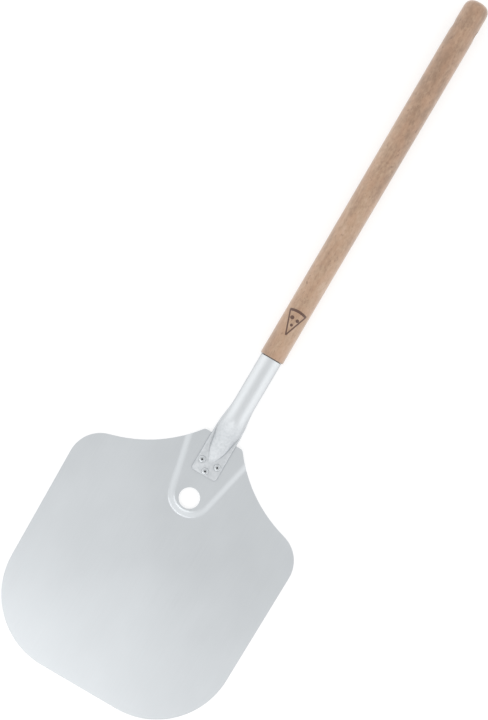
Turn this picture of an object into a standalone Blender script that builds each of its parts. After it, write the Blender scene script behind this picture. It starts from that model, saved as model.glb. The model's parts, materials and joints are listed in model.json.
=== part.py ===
"""Pizza peel: a stamped aluminium blade, a flattened tube socket and a turned beech handle.

Metres, +Z up. The origin is the centre of the blade's underside, which rests on a table at z = 0.
+Y runs along the handle to its free end, -Y to the blade's front edge, +X to the right.
"""

import math

import bmesh
import bpy
from mathutils import Vector

MM = 0.001

# Clearance left between pieces that touch.
GAP = 0.3 * MM

# Blade: one sheet, stamped to its outline.
BLADE_LENGTH = 346 * MM
BLADE_HALF_WIDTH = 152.5 * MM
BLADE_SHEET = 1.5 * MM
SIDE_TAPER = math.radians(1.03)
FRONT_CORNER_RADIUS = 98 * MM
WIDEST_FROM_NECK = 104.5 * MM
BACK_CORNER_RADIUS = 41 * MM
SHOULDER_ANGLE = math.radians(16.7)
SHOULDER_STRAIGHT = 8 * MM
SHOULDER_HOLLOW_RADIUS = 174 * MM
NECK_CORNER_RADIUS = 5 * MM

# Pressed step: the tongue inside this U path stands above the rest of the blade.
STEP_HEIGHT = 3.2 * MM
STEP_WIDTH = 10 * MM
STEP_RADIUS = 24.5 * MM
STEP_CENTRE_FROM_NECK = 77 * MM
STEP_ARM_ANGLE = math.radians(12.7)
STEP_ARM_LENGTH = 125 * MM

# Hanging hole in the blade.
BLADE_HOLE_RADIUS = 12.9 * MM
BLADE_HOLE_FROM_NECK = 82.3 * MM

# Socket: a tube pressed flat at its front end, with a nose where it changes shape.
TUBE_RADIUS = 13.5 * MM
TUBE_WALL = 1.5 * MM
TUBE_LENGTH_BEHIND_NECK = 112.4 * MM
TUBE_LIP = 0.6 * MM
TUBE_AXIS_HEIGHT = 16.6 * MM
FLARE_START_FROM_NECK = 49 * MM
FLARE_LENGTH = 38 * MM
TAB_HALF_WIDTH = 17 * MM
TAB_THICKNESS = 3 * MM
TAB_REACH = 49.8 * MM
TAB_CORNER_RADIUS = 3 * MM
TAB_FOLD_RADIUS = TAB_THICKNESS / 2
NOSE_DROP_START_FROM_NECK = 30 * MM
NOSE_DROP_LENGTH = 65 * MM
NOSE_ROUNDNESS = 0.7
CAVITY_END = 12 * MM
CAVITY_FOLD_RADIUS = 0.4 * MM

# Places round the tube that become the pressed section's folded edges and the foot of its nose.
FOLD_ANGLE = math.radians(20)
FOOT_ANGLE = math.radians(28)

# Width of the nose along its length: (distance ahead of the neck edge, half-width).
NOSE_STATIONS = (
    (-11 * MM, 15.5 * MM),
    (0 * MM, 13.2 * MM),
    (13 * MM, 10.9 * MM),
    (22 * MM, 7.8 * MM),
    (29 * MM, 4.2 * MM),
    (34 * MM, 0.6 * MM),
)

# Rivets: two behind and one in front.
RIVET_PLACES = {
    "left": (-10.5 * MM, 33.8 * MM),
    "right": (10.5 * MM, 33.8 * MM),
    "front": (0.0, 44.8 * MM),
}
RIVET_HEAD_RADIUS = 4.2 * MM
RIVET_HEAD_HEIGHT = 1.5 * MM
RIVET_HEAD_RIM = 0.5 * MM
RIVET_CROWN_RADIUS = 1.5 * MM
RIVET_SHANK_RADIUS = 2.0 * MM
RIVET_BORE_RADIUS = 1.2 * MM
RIVET_TAIL_RADIUS = 3.0 * MM
RIVET_TAIL_HEIGHT = 1.4 * MM
MANDREL_RADIUS = RIVET_BORE_RADIUS - GAP
MANDREL_HEAD_RADIUS = 1.8 * MM
MANDREL_HEAD_HEIGHT = 0.9 * MM
MANDREL_RECESS = 0.9 * MM
SMALL_CHAMFER = 0.3 * MM

# Handle: turned beech, with a tenon that fills the round end of the tube.
HANDLE_LENGTH = 493 * MM
HANDLE_END_LENGTH = 14 * MM
HANDLE_END_POWER = 2.8
SHOULDER_ROUNDING = 1.5 * MM
TENON_LENGTH = 60 * MM
TENON_CHAMFER = 2 * MM

# The handle swells gently towards its free end: (distance from the shoulder, radius).
HANDLE_STATIONS = (
    (0 * MM, 15.3 * MM),
    (35 * MM, 15.2 * MM),
    (110 * MM, 15.15 * MM),
    (210 * MM, 15.4 * MM),
    (330 * MM, 15.7 * MM),
    (430 * MM, 15.95 * MM),
    (479 * MM, 15.6 * MM),
)

# Hanging hole through the handle, with countersunk mouths.
HANDLE_HOLE_RADIUS = 4.2 * MM
HANDLE_HOLE_FROM_END = 37.6 * MM
HANDLE_HOLE_TILT = math.radians(5)
HANDLE_HOLE_STRAIGHT = 12.8 * MM
HANDLE_HOLE_REACH = 22 * MM

# Screw up through the underside of the tube into the tenon.
SCREW_BEHIND_NECK = 89 * MM
SCREW_HEAD_RADIUS = 3.3 * MM
SCREW_HEAD_HEIGHT = 1.7 * MM
SCREW_SHANK_RADIUS = 1.6 * MM
SCREW_LENGTH = 13 * MM
SCREW_DOME_HEIGHT = 0.9 * MM
SCREW_POINT_LENGTH = 4 * MM
SCREW_POINT_RADIUS = 0.2 * MM
SCREW_SLOT_WIDTH = 1.0 * MM
SCREW_SLOT_REACH = 2.2 * MM
SCREW_SLOT_DEPTH = 0.7 * MM

# Fineness of the blade: points on each arc of its outline and of its step, and rows down the step.
FRONT_CORNER_STEPS = 24
BACK_CORNER_STEPS = 14
HOLLOW_STEPS = 14
NECK_CORNER_STEPS = 5
STEP_ARC_STEPS = 20
STEP_ROWS = 7

# Fineness of the socket: points along half a section, and sections along its length.
BOTTOM_STEPS = 8
EDGE_STEPS = 4
BULGE_STEPS = 10
NOSE_SECTIONS = 30
TAB_CORNER_SECTIONS = 4
CAVITY_SECTIONS = 12

# Fineness of the turned pieces: sides, and rings along the handle.
HANDLE_SIDES = 48
HANDLE_RINGS = 14
HANDLE_END_RINGS = 12
SHOULDER_RINGS = 4
BLADE_HOLE_SIDES = 48
HANDLE_HOLE_SIDES = 32
RIVET_SIDES = 28
RIVET_DOME_RINGS = 5
SCREW_SIDES = 24
SMALL_HOLE_SIDES = 20
MANDREL_SIDES = 16

# Cutters run past what they cut by at least this much.
CUTTER_REACH = 20 * MM
STEP_OUTER_REACH = 320 * MM

# Places worked out from the sizes above.
NECK_Y = BLADE_LENGTH / 2
TABLE_Z = 0.0
NECK_TOP = STEP_HEIGHT + BLADE_SHEET
TAB_BOTTOM = NECK_TOP + GAP
TAB_TOP = TAB_BOTTOM + TAB_THICKNESS
TUBE_END_Y = NECK_Y + TUBE_LENGTH_BEHIND_NECK
SHOULDER_Y = TUBE_END_Y + GAP
HANDLE_END_Y = SHOULDER_Y + HANDLE_LENGTH
HANDLE_HOLE_Y = HANDLE_END_Y - HANDLE_HOLE_FROM_END


def clear_scene():
    for obj in list(bpy.data.objects):
        bpy.data.objects.remove(obj)


def linear(channel):
    """One sRGB channel, 0 to 1, as linear light."""
    if channel <= 0.04045:
        return channel / 12.92
    return ((channel + 0.055) / 1.055) ** 2.4


def make_material(name, hex_colour, metallic, roughness):
    material = bpy.data.materials.new(name)
    material.use_nodes = True
    shader = material.node_tree.nodes["Principled BSDF"]
    channels = [int(hex_colour[i : i + 2], 16) / 255 for i in (1, 3, 5)]
    shader.inputs["Base Color"].default_value = [linear(c) for c in channels] + [1]
    shader.inputs["Metallic"].default_value = metallic
    shader.inputs["Roughness"].default_value = roughness
    return material


def smoothstep(value):
    value = min(max(value, 0.0), 1.0)
    return value * value * (3 - 2 * value)


def between(stations, place):
    """Read a smooth curve through (place, value) stations."""
    if place <= stations[0][0]:
        return stations[0][1]
    for i in range(len(stations) - 1):
        (start, low), (end, high) = stations[i], stations[i + 1]
        if place > end:
            continue
        before = stations[max(i - 1, 0)]
        after = stations[min(i + 2, len(stations) - 1)]
        span = end - start
        slope_in = (high - before[1]) / (end - before[0]) * span
        slope_out = (after[1] - low) / (after[0] - start) * span
        t = (place - start) / span
        return (
            (2 * t**3 - 3 * t**2 + 1) * low
            + (t**3 - 2 * t**2 + t) * slope_in
            + (-2 * t**3 + 3 * t**2) * high
            + (t**3 - t**2) * slope_out
        )
    return stations[-1][1]


def spaced(start, end, count):
    """Evenly spaced values from start to end, ends included."""
    return [start + (end - start) * i / count for i in range(count + 1)]


def arc(centre, radius, start, end, steps):
    """Points along an arc from one angle to another, ends included."""
    points = []
    for angle in spaced(start, end, steps):
        points.append((centre[0] + radius * math.cos(angle), centre[1] + radius * math.sin(angle)))
    return points


def add_object(name, mesh_builder, material=None, sharp_angle=35):
    """Turn a bmesh into a named object, or into a cutter if it has no material."""
    mesh = bpy.data.meshes.new(name)
    mesh_builder.to_mesh(mesh)
    mesh_builder.free()
    obj = bpy.data.objects.new(name, mesh)
    bpy.context.scene.collection.objects.link(obj)
    if material is None:
        obj.hide_render = True
        obj.display_type = "WIRE"
        return obj
    mesh.materials.append(material)
    mesh.shade_smooth()
    mesh.set_sharp_from_angle(angle=math.radians(sharp_angle))
    return obj


def add_boolean(obj, cutter, operation):
    modifier = obj.modifiers.new(f"{operation.lower()} {cutter.name}", "BOOLEAN")
    modifier.operation = operation
    modifier.solver = "EXACT"
    modifier.object = cutter


def prism(outline, bottom, top):
    """A closed slab with the given outline in plan."""
    builder = bmesh.new()
    corners = [builder.verts.new((x, y, bottom)) for x, y in outline]
    face = builder.faces.new(corners)
    raised = bmesh.ops.extrude_face_region(builder, geom=[face])["geom"]
    moved = [item for item in raised if isinstance(item, bmesh.types.BMVert)]
    bmesh.ops.translate(builder, verts=moved, vec=(0, 0, top - bottom))
    bmesh.ops.recalc_face_normals(builder, faces=builder.faces)
    return builder


def turned(profile, steps, centre=(0, 0, 0), axis=(0, 0, 1)):
    """Spin (radius, place along the axis) points into a closed round solid. The axis is Y or Z."""
    builder = bmesh.new()
    start, outward, direction = Vector(centre), Vector((1, 0, 0)), Vector(axis)
    corners = [builder.verts.new(start + outward * r + direction * h) for r, h in profile]
    edges = [builder.edges.new(pair) for pair in zip(corners, corners[1:])]
    bmesh.ops.spin(
        builder,
        geom=corners + edges,
        cent=centre,
        axis=direction,
        angle=math.tau,
        steps=steps,
        use_merge=True,
    )
    bmesh.ops.remove_doubles(builder, verts=builder.verts, dist=1e-6)
    bmesh.ops.recalc_face_normals(builder, faces=builder.faces)
    return builder


def loft(sections):
    """Skin closed sections of equal point count and cap both ends."""
    builder = bmesh.new()
    rings = [[builder.verts.new(point) for point in section] for section in sections]
    for ring, following in zip(rings, rings[1:]):
        for i in range(len(ring)):
            j = (i + 1) % len(ring)
            builder.faces.new((ring[i], ring[j], following[j], following[i]))
    builder.faces.new(rings[0][::-1])
    builder.faces.new(rings[-1])
    bmesh.ops.recalc_face_normals(builder, faces=builder.faces)
    return builder


def blade_half_outline():
    """The right half of the blade in plan, from the front centre to the neck, as tangent arcs."""
    side_x = BLADE_HALF_WIDTH
    widest_y = NECK_Y - WIDEST_FROM_NECK
    taper = SIDE_TAPER

    # The front corner touches the tapered side line and the straight front edge.
    front_y = NECK_Y - BLADE_LENGTH + FRONT_CORNER_RADIUS
    side_at_front = side_x - (widest_y - front_y) * math.tan(taper)
    front_x = side_at_front - FRONT_CORNER_RADIUS / math.cos(taper)
    points = arc((front_x, front_y), FRONT_CORNER_RADIUS, -math.pi / 2, -taper, FRONT_CORNER_STEPS)

    # The back corner rounds the side into the shoulder.
    back = (side_x - BACK_CORNER_RADIUS, widest_y)
    back_end = math.pi / 2 - SHOULDER_ANGLE
    points += arc(back, BACK_CORNER_RADIUS, -taper, back_end, BACK_CORNER_STEPS)

    # A short straight leads into the hollow of the shoulder.
    x, y = points[-1]
    hollow_start = (
        x - SHOULDER_STRAIGHT * math.cos(SHOULDER_ANGLE),
        y + SHOULDER_STRAIGHT * math.sin(SHOULDER_ANGLE),
    )
    hollow = (
        hollow_start[0] + SHOULDER_HOLLOW_RADIUS * math.sin(SHOULDER_ANGLE),
        hollow_start[1] + SHOULDER_HOLLOW_RADIUS * math.cos(SHOULDER_ANGLE),
    )

    # The neck corner touches the hollow from outside and the straight neck edge.
    corner_y = NECK_Y - NECK_CORNER_RADIUS
    reach = SHOULDER_HOLLOW_RADIUS + NECK_CORNER_RADIUS
    corner_x = hollow[0] - math.sqrt(reach**2 - (hollow[1] - corner_y) ** 2)
    meeting = math.atan2(corner_y - hollow[1], corner_x - hollow[0]) % math.tau
    hollow_from = 3 * math.pi / 2 - SHOULDER_ANGLE
    points += arc(hollow, SHOULDER_HOLLOW_RADIUS, hollow_from, meeting, HOLLOW_STEPS)
    corner = (corner_x, corner_y)
    rounding = arc(corner, NECK_CORNER_RADIUS, meeting - math.pi, math.pi / 2, NECK_CORNER_STEPS)
    return points + rounding[1:]


def mirrored(half):
    """Close a right half outline with its left half."""
    return half + [(-x, y) for x, y in reversed(half)]


def step_path(offset):
    """The U path of the pressed step, moved outwards by offset: left arm, arc, right arm."""
    centre = (0.0, NECK_Y - STEP_CENTRE_FROM_NECK)
    radius = STEP_RADIUS + offset
    first = math.pi + STEP_ARM_ANGLE
    last = math.tau - STEP_ARM_ANGLE
    bend = arc(centre, radius, first, last, STEP_ARC_STEPS)
    reach_x = STEP_ARM_LENGTH * math.sin(STEP_ARM_ANGLE)
    reach_y = STEP_ARM_LENGTH * math.cos(STEP_ARM_ANGLE)
    left_end = (bend[0][0] - reach_x, bend[0][1] + reach_y)
    right_end = (bend[-1][0] + reach_x, bend[-1][1] + reach_y)
    return [left_end] + bend + [right_end]


def stepped_surface():
    """The underside of the sheet, wider than the blade, with the raised tongue pressed in."""
    builder = bmesh.new()
    rows = []
    for i in range(STEP_ROWS + 1):
        share = i / STEP_ROWS
        offset = (share - 0.5) * STEP_WIDTH
        height = STEP_HEIGHT * (1 - smoothstep(share))
        rows.append([builder.verts.new((x, y, height)) for x, y in step_path(offset)])
    rows.append([builder.verts.new((x, y, TABLE_Z)) for x, y in step_path(STEP_OUTER_REACH)])
    for row, following in zip(rows, rows[1:]):
        for i in range(len(row) - 1):
            builder.faces.new((row[i], following[i], following[i + 1], row[i + 1]))
    builder.faces.new(rows[0])
    bmesh.ops.recalc_face_normals(builder, faces=builder.faces)
    if sum(face.normal.z for face in builder.faces) < 0:
        bmesh.ops.reverse_faces(builder, faces=builder.faces)
    return builder


def round_cutter(name, x, y, radius, sides, bottom, top):
    profile = [(0, bottom), (radius, bottom), (radius, top), (0, top)]
    return add_object(name, turned(profile, sides, (x, y, 0)))


def make_blade(material):
    blade = add_object("blade", stepped_surface(), material)
    solidify = blade.modifiers.new("sheet", "SOLIDIFY")
    solidify.thickness = BLADE_SHEET
    solidify.offset = 1
    solidify.use_even_offset = True
    slab = prism(mirrored(blade_half_outline()), -CUTTER_REACH, CUTTER_REACH)
    add_boolean(blade, add_object("blade_outline", slab), "INTERSECT")
    hole = round_cutter(
        "blade_hole",
        0,
        NECK_Y - BLADE_HOLE_FROM_NECK,
        BLADE_HOLE_RADIUS,
        BLADE_HOLE_SIDES,
        -CUTTER_REACH,
        CUTTER_REACH,
    )
    add_boolean(blade, hole, "DIFFERENCE")
    cut_rivet_holes(blade, -CUTTER_REACH, CUTTER_REACH)
    return blade


def cut_rivet_holes(obj, bottom, top):
    radius = RIVET_SHANK_RADIUS + GAP
    for side, (x, ahead) in RIVET_PLACES.items():
        name = f"{obj.name}_rivet_hole_{side}"
        y = NECK_Y - ahead
        hole = round_cutter(name, x, y, radius, SMALL_HOLE_SIDES, bottom, top)
        add_boolean(obj, hole, "DIFFERENCE")


def nose_top(y):
    """Height of the ridge along the top of the socket."""
    full = TUBE_AXIS_HEIGHT + TUBE_RADIUS
    gone = smoothstep((NECK_Y + NOSE_DROP_START_FROM_NECK - y) / NOSE_DROP_LENGTH)
    return full + (TAB_TOP - full) * gone


def tab_half_width(y):
    """Half-width of the flattened part, with its front corners rounded."""
    front = NECK_Y - TAB_REACH
    short = min(max(TAB_CORNER_RADIUS - (y - front), 0.0), TAB_CORNER_RADIUS)
    return TAB_HALF_WIDTH - TAB_CORNER_RADIUS + math.sqrt(TAB_CORNER_RADIUS**2 - short**2)


def pressed_half(half_width, edge_radius, bottom, bulge_half, top):
    """Right half of a pressed section, bottom centre to top centre: flat, folded edge, bulge."""
    middle = bottom + edge_radius
    flat = half_width - edge_radius
    points = [(flat * i / BOTTOM_STEPS, bottom) for i in range(BOTTOM_STEPS)]
    points += arc((flat, middle), edge_radius, -math.pi / 2, math.pi / 2, EDGE_STEPS)
    foot = min(bulge_half, flat)
    shelf = bottom + 2 * edge_radius
    for i in range(BULGE_STEPS + 1):
        angle = math.pi / 2 * i / BULGE_STEPS
        points.append((foot * math.cos(angle), shelf + (top - shelf) * math.sin(angle) ** NOSE_ROUNDNESS))
    return points


def round_half(radius, height):
    """The same number of points on a circle, at the places that match the pressed section."""
    angles = spaced(-math.pi / 2, -FOLD_ANGLE, BOTTOM_STEPS)[:-1]
    angles += spaced(-FOLD_ANGLE, FOLD_ANGLE, EDGE_STEPS)
    angles += spaced(FOOT_ANGLE, math.pi / 2, BULGE_STEPS)
    return [(radius * math.cos(angle), height + radius * math.sin(angle)) for angle in angles]


def whole_section(half, y):
    """Mirror a half section and lift it to its place along the socket."""
    right = [(x, y, z) for x, z in half]
    left = [(-x, y, z) for x, z in reversed(half[1:-1])]
    return right + left


def socket_section(y, inset=0.0):
    """The tube's section at y, blended from round to pressed. An inset gives the cavity's section."""
    pressed = smoothstep((NECK_Y + FLARE_START_FROM_NECK - y) / FLARE_LENGTH)
    circle = round_half(TUBE_RADIUS - inset, TUBE_AXIS_HEIGHT)
    bulge = between(NOSE_STATIONS, NECK_Y - y)
    if inset:
        fold = CAVITY_FOLD_RADIUS
        wall = bulge - inset
        flat = pressed_half(wall, fold, TAB_BOTTOM + inset, wall - fold, nose_top(y) - inset)
    else:
        flat = pressed_half(tab_half_width(y), TAB_FOLD_RADIUS, TAB_BOTTOM, bulge, nose_top(y))
    half = [
        (a + (c - a) * pressed, b + (d - b) * pressed)
        for (a, b), (c, d) in zip(circle, flat)
    ]
    return whole_section(half, y)


def make_socket(material):
    flare_y = NECK_Y + FLARE_START_FROM_NECK
    tip_y = NECK_Y - NOSE_STATIONS[-1][0]
    corner_y = NECK_Y - TAB_REACH + TAB_CORNER_RADIUS
    sections = []
    lip = [(TUBE_RADIUS - TUBE_LIP, TUBE_END_Y), (TUBE_RADIUS, TUBE_END_Y - TUBE_LIP)]
    for radius, y in lip:
        sections.append(whole_section(round_half(radius, TUBE_AXIS_HEIGHT), y))
    places = spaced(flare_y, tip_y, NOSE_SECTIONS)
    for angle in spaced(0, math.pi / 2, TAB_CORNER_SECTIONS):
        places.append(corner_y - TAB_CORNER_RADIUS * math.sin(angle))
    sections += [socket_section(y) for y in places]
    socket = add_object("handle_socket", loft(sections), material)

    inner = TUBE_RADIUS - TUBE_WALL
    past_end = TUBE_END_Y + CUTTER_REACH
    hollow = [whole_section(round_half(inner, TUBE_AXIS_HEIGHT), past_end)]
    for y in spaced(flare_y, NECK_Y - CAVITY_END, CAVITY_SECTIONS):
        hollow.append(socket_section(y, TUBE_WALL))
    add_boolean(socket, add_object("socket_cavity", loft(hollow)), "DIFFERENCE")
    cut_rivet_holes(socket, TABLE_Z, TAB_TOP + CUTTER_REACH)
    screw_hole = round_cutter(
        "socket_screw_hole",
        0,
        NECK_Y + SCREW_BEHIND_NECK,
        SCREW_SHANK_RADIUS + GAP,
        SMALL_HOLE_SIDES,
        TABLE_Z,
        TUBE_AXIS_HEIGHT,
    )
    add_boolean(socket, screw_hole, "DIFFERENCE")
    return socket


def handle_profile():
    """(radius, y) from the tenon's end to the domed free end."""
    tenon = TUBE_RADIUS - TUBE_WALL - GAP
    tenon_y = SHOULDER_Y - TENON_LENGTH
    points = [(0, tenon_y), (tenon - TENON_CHAMFER, tenon_y), (tenon, tenon_y + TENON_CHAMFER)]
    points.append((tenon, SHOULDER_Y))
    body = HANDLE_STATIONS[0][1]
    rounding = (body - SHOULDER_ROUNDING, SHOULDER_Y + SHOULDER_ROUNDING)
    points += arc(rounding, SHOULDER_ROUNDING, -math.pi / 2, 0, SHOULDER_RINGS)
    straight = HANDLE_LENGTH - HANDLE_END_LENGTH
    for place in spaced(SHOULDER_ROUNDING, straight, HANDLE_RINGS)[1:]:
        points.append((between(HANDLE_STATIONS, place), SHOULDER_Y + place))
    end_radius = HANDLE_STATIONS[-1][1]
    for angle in spaced(0, math.pi / 2, HANDLE_END_RINGS)[1:-1]:
        radius = end_radius * math.cos(angle) ** (2 / HANDLE_END_POWER)
        place = HANDLE_END_LENGTH * math.sin(angle) ** (2 / HANDLE_END_POWER)
        points.append((radius, SHOULDER_Y + straight + place))
    points.append((0, HANDLE_END_Y))
    return points


def make_handle(material):
    centre = (0, 0, TUBE_AXIS_HEIGHT)
    handle = add_object("handle", turned(handle_profile(), HANDLE_SIDES, centre, (0, 1, 0)), material)

    mouth = HANDLE_HOLE_RADIUS + HANDLE_HOLE_REACH - HANDLE_HOLE_STRAIGHT
    half = [(HANDLE_HOLE_RADIUS, HANDLE_HOLE_STRAIGHT), (mouth, HANDLE_HOLE_REACH), (0, HANDLE_HOLE_REACH)]
    profile = [(radius, -place) for radius, place in reversed(half)] + half
    hole = add_object("handle_hole", turned(profile, HANDLE_HOLE_SIDES))
    hole.location = (0, HANDLE_HOLE_Y, TUBE_AXIS_HEIGHT)
    hole.rotation_euler = (0, math.pi / 2 - HANDLE_HOLE_TILT, 0)
    add_boolean(handle, hole, "DIFFERENCE")

    pilot = round_cutter(
        "handle_screw_pilot",
        0,
        NECK_Y + SCREW_BEHIND_NECK,
        SCREW_SHANK_RADIUS + GAP,
        SMALL_HOLE_SIDES,
        TABLE_Z,
        screw_tip_height() + GAP,
    )
    add_boolean(handle, pilot, "DIFFERENCE")
    return handle


def rivet_profile():
    """(radius, height) of a set blind rivet with an open bore, down the outside and up the bore."""
    head_bottom = TAB_TOP + GAP
    crown = head_bottom + RIVET_HEAD_HEIGHT
    rim = head_bottom + RIVET_HEAD_RIM
    outer = RIVET_HEAD_RADIUS
    tail_top = STEP_HEIGHT - GAP
    tail_bottom = tail_top - RIVET_TAIL_HEIGHT
    points = [(RIVET_BORE_RADIUS, crown)]
    for angle in spaced(0, math.pi / 2, RIVET_DOME_RINGS)[1:]:
        radius = RIVET_CROWN_RADIUS + (outer - RIVET_CROWN_RADIUS) * math.sin(angle)
        points.append((radius, rim + (crown - rim) * math.cos(angle)))
    points += [(outer - SMALL_CHAMFER, head_bottom), (RIVET_SHANK_RADIUS, head_bottom)]
    points += [(RIVET_SHANK_RADIUS, tail_top), (RIVET_TAIL_RADIUS - SMALL_CHAMFER, tail_top)]
    points += [(RIVET_TAIL_RADIUS, (tail_top + tail_bottom) / 2)]
    points += [(RIVET_SHANK_RADIUS + SMALL_CHAMFER, tail_bottom), (RIVET_BORE_RADIUS, tail_bottom)]
    return points


def mandrel_profile():
    """(radius, height) of the broken mandrel: ball end below the rivet, stem up inside its bore."""
    rivet_bottom = STEP_HEIGHT - 2 * GAP - RIVET_TAIL_HEIGHT
    bottom = rivet_bottom - MANDREL_HEAD_HEIGHT
    top = TAB_TOP + GAP + RIVET_HEAD_HEIGHT - MANDREL_RECESS
    points = [(0, top), (MANDREL_RADIUS - SMALL_CHAMFER, top), (MANDREL_RADIUS, top - SMALL_CHAMFER)]
    points += [(MANDREL_RADIUS, rivet_bottom), (MANDREL_HEAD_RADIUS - SMALL_CHAMFER, rivet_bottom)]
    points += [(MANDREL_HEAD_RADIUS, rivet_bottom - SMALL_CHAMFER)]
    points += [(MANDREL_HEAD_RADIUS * 0.6, bottom), (0, bottom)]
    return points


def make_rivets(rivet_material, mandrel_material):
    for side, (x, ahead) in RIVET_PLACES.items():
        centre = (x, NECK_Y - ahead, 0)
        closed = rivet_profile()
        closed.append(closed[0])
        add_object(f"rivet_{side}", turned(closed, RIVET_SIDES, centre), rivet_material)
        mandrel = turned(mandrel_profile(), MANDREL_SIDES, centre)
        add_object(f"mandrel_{side}", mandrel, mandrel_material)


def screw_head_bottom():
    return TUBE_AXIS_HEIGHT - TUBE_RADIUS - GAP - SCREW_HEAD_HEIGHT


def screw_tip_height():
    return screw_head_bottom() + SCREW_HEAD_HEIGHT + SCREW_LENGTH


def make_screw(material):
    bottom = screw_head_bottom()
    seat = bottom + SCREW_HEAD_HEIGHT
    tip = screw_tip_height()
    profile = [(0, bottom), (SCREW_HEAD_RADIUS * 0.6, bottom)]
    profile += [(SCREW_HEAD_RADIUS, bottom + SCREW_DOME_HEIGHT), (SCREW_HEAD_RADIUS, seat)]
    profile += [(SCREW_SHANK_RADIUS, seat), (SCREW_SHANK_RADIUS, tip - SCREW_POINT_LENGTH)]
    profile += [(SCREW_POINT_RADIUS, tip), (0, tip)]
    place = (0, NECK_Y + SCREW_BEHIND_NECK, 0)
    screw = add_object("handle_screw", turned(profile[::-1], SCREW_SIDES, place), material)
    arm, half = SCREW_SLOT_REACH, SCREW_SLOT_WIDTH / 2
    for name, reach_x, reach_y in (("screw_slot_across", arm, half), ("screw_slot_along", half, arm)):
        corners = [(-reach_x, -reach_y), (reach_x, -reach_y), (reach_x, reach_y), (-reach_x, reach_y)]
        outline = [(place[0] + x, place[1] + y) for x, y in corners]
        slot = add_object(name, prism(outline, bottom - CUTTER_REACH, bottom + SCREW_SLOT_DEPTH))
        add_boolean(screw, slot, "DIFFERENCE")
    return screw


def main():
    clear_scene()
    blade_metal = make_material("Satin aluminium sheet", "#CDD0D2", 1.0, 0.38)
    socket_metal = make_material("Bright drawn aluminium tube", "#D9DCDF", 1.0, 0.26)
    beech = make_material("Oiled beech", "#B98E68", 0.0, 0.55)
    rivet_metal = make_material("Aluminium rivet", "#D5D7D8", 1.0, 0.3)
    mandrel_metal = make_material("Steel mandrel", "#55585A", 1.0, 0.4)
    screw_metal = make_material("Zinc-plated steel", "#B9BCBD", 1.0, 0.35)
    make_blade(blade_metal)
    make_socket(socket_metal)
    make_handle(beech)
    make_rivets(rivet_metal, mandrel_metal)
    make_screw(screw_metal)


main()
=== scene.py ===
"""Looks of the pizza peel: satin aluminium blade, pressed tube, blind rivets and a beech handle.

Metres, in the CAD frame: +Z up, +Y to the handle's free end, the blade's underside at z = 0.
"""

import json
import math

import bpy
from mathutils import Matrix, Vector

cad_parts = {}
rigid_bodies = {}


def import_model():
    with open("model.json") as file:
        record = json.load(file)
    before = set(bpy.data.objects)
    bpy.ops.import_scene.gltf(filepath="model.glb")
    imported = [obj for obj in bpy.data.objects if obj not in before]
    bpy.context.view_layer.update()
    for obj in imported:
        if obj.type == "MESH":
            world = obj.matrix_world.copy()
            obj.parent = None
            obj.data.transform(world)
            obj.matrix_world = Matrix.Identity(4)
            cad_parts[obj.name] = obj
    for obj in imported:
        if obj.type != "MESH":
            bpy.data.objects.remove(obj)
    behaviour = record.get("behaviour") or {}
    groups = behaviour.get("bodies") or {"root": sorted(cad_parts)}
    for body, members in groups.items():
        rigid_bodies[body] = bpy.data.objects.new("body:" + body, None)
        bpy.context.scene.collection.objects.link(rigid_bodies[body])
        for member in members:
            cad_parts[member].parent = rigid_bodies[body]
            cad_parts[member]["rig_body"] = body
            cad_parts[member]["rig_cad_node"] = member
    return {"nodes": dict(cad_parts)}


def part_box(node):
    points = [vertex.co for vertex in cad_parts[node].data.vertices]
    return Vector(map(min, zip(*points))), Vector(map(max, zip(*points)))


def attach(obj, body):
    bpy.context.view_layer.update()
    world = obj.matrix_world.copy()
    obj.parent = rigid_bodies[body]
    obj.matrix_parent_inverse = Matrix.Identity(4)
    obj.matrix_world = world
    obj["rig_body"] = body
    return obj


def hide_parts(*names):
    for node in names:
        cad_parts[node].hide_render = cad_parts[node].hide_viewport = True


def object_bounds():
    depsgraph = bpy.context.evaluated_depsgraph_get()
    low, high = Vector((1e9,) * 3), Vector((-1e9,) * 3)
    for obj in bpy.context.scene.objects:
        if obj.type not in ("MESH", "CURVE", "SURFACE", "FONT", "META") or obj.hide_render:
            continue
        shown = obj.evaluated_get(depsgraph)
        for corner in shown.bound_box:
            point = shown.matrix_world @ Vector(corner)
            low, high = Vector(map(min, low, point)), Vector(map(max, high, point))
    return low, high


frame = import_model()
cad_low, cad_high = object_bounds()

MM = 0.001

# The view: a camera straight above the peel, turned so that the handle runs up to the right.
# VIEW_LONG_SIDE is the length that the view's longer side takes in at floor level.
CAMERA_HEIGHT = 2.5
VIEW_LONG_SIDE = 0.868
VIEW_OFFSET_X = -27.4 * MM
VIEW_OFFSET_Y = -35.55 * MM
VIEW_TURN = math.radians(30.42)
SENSOR_WIDTH_IN_MM = 36
CLIP_NEAR = 0.05
CLIP_FAR = 50

# The room: a white world, dimmer overhead than at its walls, over a board that glows a little.
WALL_LIGHT = 1.17
CEILING_LIGHT = 0.79
WALL_TOP = 0.45
FLOOR_SIZE = 12
FLOOR_DROP = 0.3 * MM
FLOOR_GLOW = 0.6
FLOOR_ROUGHNESS = 0.9
FLOOR_GLOSS = 0.1

# Softboxes: sizes and places in metres, power in watts.
SIDE_SOFTBOX_SIZE = (1.2, 2.0)
SIDE_SOFTBOX_OUT = 1.6
SIDE_SOFTBOX_UP = 1.3
LEFT_POWER = 0.6
RIGHT_POWER = 0.8
FRONT_SOFTBOX_SIZE = (0.9, 0.35)
FRONT_SOFTBOX_OFFSET = (-0.12, -0.46, 1.35)
FRONT_POWER = 1.7

# Points this near each other are one point, and faces within this many degrees are one plane.
SAME_POINT = 0.001 * MM
SAME_CAD_POINT = 0.01 * MM
SAME_PLANE = 0.3

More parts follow.
